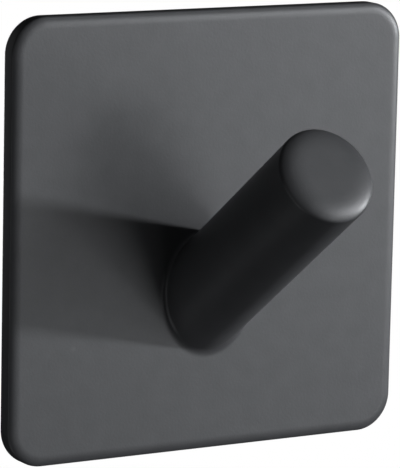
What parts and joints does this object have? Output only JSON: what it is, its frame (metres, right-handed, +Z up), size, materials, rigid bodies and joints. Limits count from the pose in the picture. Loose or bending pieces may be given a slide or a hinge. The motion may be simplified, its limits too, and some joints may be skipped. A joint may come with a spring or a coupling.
{
  "type": "adhesive wall hook",
  "caption": "Square satin-black metal wall hook: a slanted round peg welded to a bent-sheet plate, stuck to the wall by a foam tape pad in its recessed back.",
  "frame": {"origin": "centre of the tape's wall face, in the plane of the wall", "axes": "+Z up the wall, +Y into the wall, so the hook's front faces -Y"},
  "size_m": [0.045, 0.0267, 0.045],
  "materials": {
    "black_coat": "satin black powder coat on steel, fine even texture",
    "foam": "matt closed-cell foam",
    "adhesive": "smooth tacky film"
  },
  "bodies": {
    "root": {"wall_plate": "black_coat", "peg": "black_coat", "foot_weld": "black_coat", "spigot_weld": "black_coat", "plate_adhesive": "adhesive", "foam_core": "foam", "wall_adhesive": "adhesive"}
  },
  "joints": []
}
